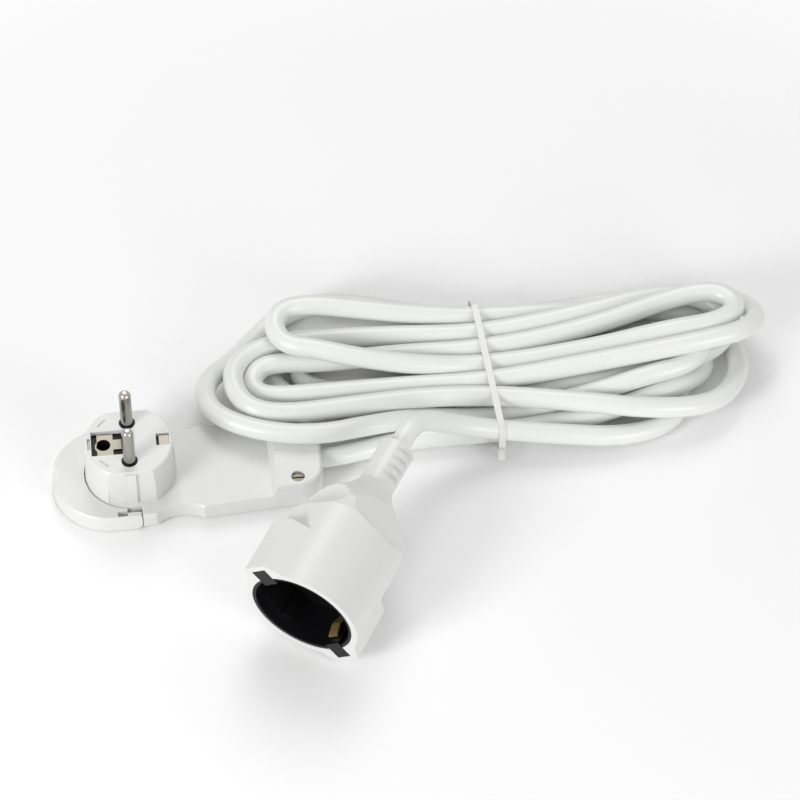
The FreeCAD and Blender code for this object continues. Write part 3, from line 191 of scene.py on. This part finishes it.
def curled_end(name):
    """A short band bent round in the cross plane of the hank."""
    mesh = bmesh.new()
    rings = []
    for step in range(CURL_STEPS + 1):
        angle = CURL_FIRST + (CURL_LAST - CURL_FIRST) * step / CURL_STEPS
        ring = []
        for radius in (CURL_RADIUS, CURL_RADIUS + TIE_THICK):
            for side in (-1, 1):
                ring.append(mesh.verts.new((
                    CURL_CENTRE[0] + side * TIE_WIDTH / 2,
                    CURL_CENTRE[1] - radius * math.cos(angle),
                    CURL_CENTRE[2] + radius * math.sin(angle),
                )))
        rings.append((ring[0], ring[1], ring[3], ring[2]))
    for ring, following in zip(rings, rings[1:]):
        for corner in range(4):
            mesh.faces.new((
                ring[corner], ring[(corner + 1) % 4],
                following[(corner + 1) % 4], following[corner],
            ))
    mesh.faces.new(rings[0])
    mesh.faces.new(rings[-1])
    bmesh.ops.recalc_face_normals(mesh, faces=mesh.faces)
    data = bpy.data.meshes.new(name)
    mesh.to_mesh(data)
    mesh.free()
    made = bpy.data.objects.new(name, data)
    bpy.context.scene.collection.objects.link(made)
    return made


tie_strip = material("Tie strip", (0.84, 0.84, 0.83), 0.3, Alpha=0.85)
paint(nodes["hank_tie"], tie_strip)
tie_end = curled_end("tie_end")
paint(tie_end, tie_strip)
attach(tie_end, LEAD_BODY)

# Cord. Three cores in one round white plastic sheath, 3 m long and 8.4 mm thick, drawn through the
# tie in seven folds. One end is clamped in the plug's end block and the other is moulded into the
# neck of the coupler.
CORD_DIAMETER = 0.0084
STEPS_BETWEEN_POINTS = 10
STEPS_ROUND_SHEATH = 6
CORD_POINTS = [
    (0.0636, 0, 0.0065), (0.078, 0, 0.0065), (0.09, 0.0024, 0.0056), (0.106, 0.0066, 0.0046),
    (0.124, 0.008, 0.0044), (0.147, 0.0075, 0.0043), (0.186, 0.01, 0.0065), (0.2215, 0.017, 0.013),
    (0.238, 0.032, 0.0043), (0.2325, 0.0485, 0.0043), (0.205, 0.0565, 0.0043),
    (0.147, 0.0579, 0.0043), (0.11, 0.0615, 0.0043), (0.082, 0.0655, 0.0043),
    (0.062, 0.0615, 0.0043), (0.0575, 0.047, 0.0043), (0.0655, 0.0335, 0.0043),
    (0.0845, 0.026, 0.0043), (0.115, 0.024, 0.0043), (0.147, 0.0245, 0.0042),
    (0.1995, 0.0265, 0.0105), (0.237, 0.0325, 0.012), (0.249, 0.0455, 0.0135),
    (0.2425, 0.0595, 0.016), (0.2215, 0.064, 0.0165), (0.19, 0.057, 0.016), (0.147, 0.0535, 0.0113),
    (0.11, 0.0555, 0.0125), (0.0795, 0.057, 0.012), (0.057, 0.055, 0.013), (0.044, 0.044, 0.015),
    (0.0435, 0.03, 0.016), (0.05, 0.0195, 0.0165), (0.064, 0.0165, 0.0155), (0.09, 0.019, 0.0145),
    (0.12, 0.0215, 0.0135), (0.147, 0.0211, 0.0116), (0.1795, 0.0115, 0.016),
    (0.2095, 0.0055, 0.0145), (0.2365, 0.009, 0.0095), (0.2495, 0.0245, 0.0075),
    (0.2495, 0.043, 0.0055), (0.2395, 0.0585, 0.0055), (0.2145, 0.063, 0.008),
    (0.1795, 0.063, 0.0105), (0.147, 0.0625, 0.0114), (0.12, 0.064, 0.0145), (0.095, 0.067, 0.018),
    (0.077, 0.069, 0.0205), (0.065, 0.0665, 0.021), (0.0615, 0.057, 0.021), (0.066, 0.048, 0.021),
    (0.078, 0.0445, 0.0215), (0.092, 0.04, 0.02), (0.118, 0.0365, 0.0155), (0.147, 0.0376, 0.0104),
    (0.1895, 0.0365, 0.0175), (0.221, 0.0365, 0.026), (0.238, 0.038, 0.026),
    (0.2485, 0.043, 0.0255), (0.2495, 0.0505, 0.0245), (0.2425, 0.0565, 0.0245),
    (0.227, 0.057, 0.022), (0.1895, 0.0485, 0.016), (0.147, 0.0454, 0.0113),
    (0.1105, 0.0455, 0.0125), (0.081, 0.044, 0.0125), (0.0655, 0.0455, 0.013),
    (0.055, 0.044, 0.013), (0.0505, 0.036, 0.0125), (0.0545, 0.029, 0.013),
    (0.0655, 0.0275, 0.0135), (0.0765, 0.028, 0.013), (0.1105, 0.0295, 0.0115),
    (0.147, 0.0287, 0.011), (0.19, 0.028, 0.0195), (0.225, 0.028, 0.026), (0.2525, 0.033, 0.026),
    (0.2595, 0.047, 0.019), (0.25, 0.0635, 0.012), (0.2205, 0.071, 0.0065),
    (0.1805, 0.0695, 0.0043), (0.147, 0.0656, 0.0042), (0.121, 0.0735, 0.0043),
    (0.089, 0.083, 0.005), (0.068, 0.079, 0.0043), (0.0545, 0.066, 0.005), (0.0455, 0.0525, 0.008),
    (0.0315, 0.0385, 0.0125), (0.033, 0.021, 0.0145), (0.052, 0.0085, 0.016),
    (0.075, 0.0035, 0.017), (0.096, 0.0085, 0.0145), (0.118, 0.016, 0.0075),
    (0.147, 0.0158, 0.0025), (0.1895, 0.0185, 0.012), (0.2105, 0.0205, 0.018),
    (0.2265, 0.0235, 0.0185), (0.2345, 0.031, 0.019), (0.231, 0.0405, 0.018),
    (0.2175, 0.046, 0.0125), (0.1895, 0.044, 0.007), (0.147, 0.0405, 0.0041),
    (0.118, 0.0445, 0.0043), (0.0985, 0.052, 0.0043), (0.083, 0.055, 0.0043),
    (0.073, 0.0515, 0.0043), (0.0705, 0.045, 0.0043), (0.0745, 0.0385, 0.0043),
    (0.087, 0.035, 0.0043), (0.1025, 0.0345, 0.0043), (0.12, 0.034, 0.0043),
    (0.147, 0.0326, 0.0043), (0.18, 0.035, 0.0043), (0.203, 0.0365, 0.0043),
    (0.219, 0.032, 0.0043), (0.225, 0.019, 0.0043), (0.218, 0.0055, 0.0043),
    (0.198, -0.001, 0.006), (0.168, 0.001, 0.0095), (0.147, 0.0033, 0.0117),
    (0.129, 0.0025, 0.0185), (0.1136, -0.0022, 0.0302), (0.1045, -0.017, 0.0299),
    (0.0909, -0.0391, 0.0283),
]
cord_curve = bpy.data.curves.new("cord", "CURVE")
cord_curve.dimensions = "3D"
run = cord_curve.splines.new("NURBS")
run.points.add(len(CORD_POINTS) - 1)
for point, place in zip(run.points, CORD_POINTS):
    point.co = (*place, 1)
run.order_u = 3
run.use_endpoint_u = True
cord_curve.resolution_u = STEPS_BETWEEN_POINTS
cord_curve.bevel_depth = CORD_DIAMETER / 2
cord_curve.bevel_resolution = STEPS_ROUND_SHEATH
cord_curve.use_fill_caps = True
cord = bpy.data.objects.new("cord", cord_curve)
bpy.context.scene.collection.objects.link(cord)
sheath = material("Cord sheath", (0.79, 0.8, 0.785), 0.26, grain=0.03)
paint(cord, sheath)
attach(cord, LEAD_BODY)
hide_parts("cord_plug_end", "cord_hank", "cord_socket_end")

# Floor. A pale square under the part takes its soft shadow and fades into the white backdrop
# further out. It is clear from below, so that the back of the part can be seen.
FLOOR_CENTRE = (0.11, 0, -0.0005)
FLOOR_REACH = 0.6
FLOOR_COLOUR = (0.95, 0.95, 0.95)
FADE_START = 0.21
FADE_END = 0.4
corners = [
    (-FLOOR_REACH, -FLOOR_REACH, 0),
    (FLOOR_REACH, -FLOOR_REACH, 0),
    (FLOOR_REACH, FLOOR_REACH, 0),
    (-FLOOR_REACH, FLOOR_REACH, 0),
]
floor_mesh = bpy.data.meshes.new("floor")
floor_mesh.from_pydata(corners, [], [(0, 1, 2, 3)])
floor = bpy.data.objects.new("floor", floor_mesh)
floor.location = FLOOR_CENTRE
bpy.context.scene.collection.objects.link(floor)
floor_paint = bpy.data.materials.new("Floor")
floor_paint.use_nodes = True
tree = floor_paint.node_tree
new = tree.nodes.new
link = tree.links.new
shader = tree.nodes["Principled BSDF"]
shader.inputs["Base Color"].default_value = (*FLOOR_COLOUR, 1)
shader.inputs["Roughness"].default_value = 0.6
shader.inputs["Specular IOR Level"].default_value = 0.1
side = new("ShaderNodeNewGeometry")
place = new("ShaderNodeTexCoord")
distance = new("ShaderNodeVectorMath")
distance.operation = "LENGTH"
fade = new("ShaderNodeMapRange")
fade.interpolation_type = "SMOOTHSTEP"
fade.inputs["From Min"].default_value = FADE_START
fade.inputs["From Max"].default_value = FADE_END
clearness = new("ShaderNodeMath")
clearness.operation = "MAXIMUM"
clear = new("ShaderNodeBsdfTransparent")
mix = new("ShaderNodeMixShader")
link(place.outputs["Object"], distance.inputs[0])
link(distance.outputs["Value"], fade.inputs["Value"])
link(fade.outputs["Result"], clearness.inputs[0])
link(side.outputs["Backfacing"], clearness.inputs[1])
link(clearness.outputs["Value"], mix.inputs["Fac"])
link(shader.outputs["BSDF"], mix.inputs[1])
link(clear.outputs["BSDF"], mix.inputs[2])
link(mix.outputs["Shader"], tree.nodes["Material Output"].inputs["Surface"])
floor_mesh.materials.append(floor_paint)

# Backdrop and lights. The camera and the glossy surfaces see a white studio, whose even light on
# the part is weaker. Three soft lamps stand at the front left, the front right and above the back.
SKY_LIGHT = 0.51
BACKDROP_LIGHT = 1.0
world = bpy.data.worlds.new("Studio")
world.use_nodes = True
tree = world.node_tree
new = tree.nodes.new
link = tree.links.new
sky = tree.nodes["Background"]
backdrop = new("ShaderNodeBackground")
for node, strength in ((sky, SKY_LIGHT), (backdrop, BACKDROP_LIGHT)):
    node.inputs["Color"].default_value = (1, 1, 1, 1)
    node.inputs["Strength"].default_value = strength
path = new("ShaderNodeLightPath")
sees_backdrop = path.outputs["Is Camera Ray"]
for kind in ("Is Glossy Ray", "Is Transmission Ray"):
    either = new("ShaderNodeMath")
    either.operation = "MAXIMUM"
    link(sees_backdrop, either.inputs[0])
    link(path.outputs[kind], either.inputs[1])
    sees_backdrop = either.outputs["Value"]
choose = new("ShaderNodeMixShader")
link(sees_backdrop, choose.inputs["Fac"])
link(sky.outputs["Background"], choose.inputs[1])
link(backdrop.outputs["Background"], choose.inputs[2])
link(choose.outputs["Shader"], tree.nodes["World Output"].inputs["Surface"])
bpy.context.scene.world = world

# Each lamp: name, place, the point it is aimed at, width and power.
LIGHTS = [
    ("Key", (-0.7, -0.6, 0.5), (0.1, 0, 0), 0.35, 5.8),
    ("Fill", (0.7, -0.85, 0.4), (0.1, 0, 0), 0.5, 3.4),
    ("Top", (0.15, 0.7, 0.95), (0.1, 0.15, 0), 0.6, 3.6),
]
for name, place, aim, width, power in LIGHTS:
    lamp = bpy.data.lights.new(name, "AREA")
    lamp.energy = power
    lamp.size = width
    holder = bpy.data.objects.new(name, lamp)
    bpy.context.scene.collection.objects.link(holder)
    holder.location = place
    holder.rotation_mode = "QUATERNION"
    holder.rotation_quaternion = (Vector(aim) - Vector(place)).to_track_quat("-Z", "Y")

# Camera. A long lens at the photo's angle, solved from the pins, the round body and the plate.
LENS_MM = 162
SENSOR_MM = 36
CAMERA_PLACE = (0.011661, -0.876599, 1.144994)
CAMERA_RIGHT = (0.994651, -0.103202, 0.004354)
CAMERA_UP = (0.077972, 0.777796, 0.623661)
lens = bpy.data.cameras.new("Camera")
lens.sensor_width = SENSOR_MM
lens.lens = LENS_MM
camera = bpy.data.objects.new("Camera", lens)
bpy.context.scene.collection.objects.link(camera)
right = Vector(CAMERA_RIGHT).normalized()
up = Vector(CAMERA_UP).normalized()
turn = Matrix((right, up, right.cross(up))).transposed().to_4x4()
camera.matrix_world = Matrix.Translation(CAMERA_PLACE) @ turn
bpy.context.scene.camera = camera
bpy.context.scene.view_settings.view_transform = "Standard"
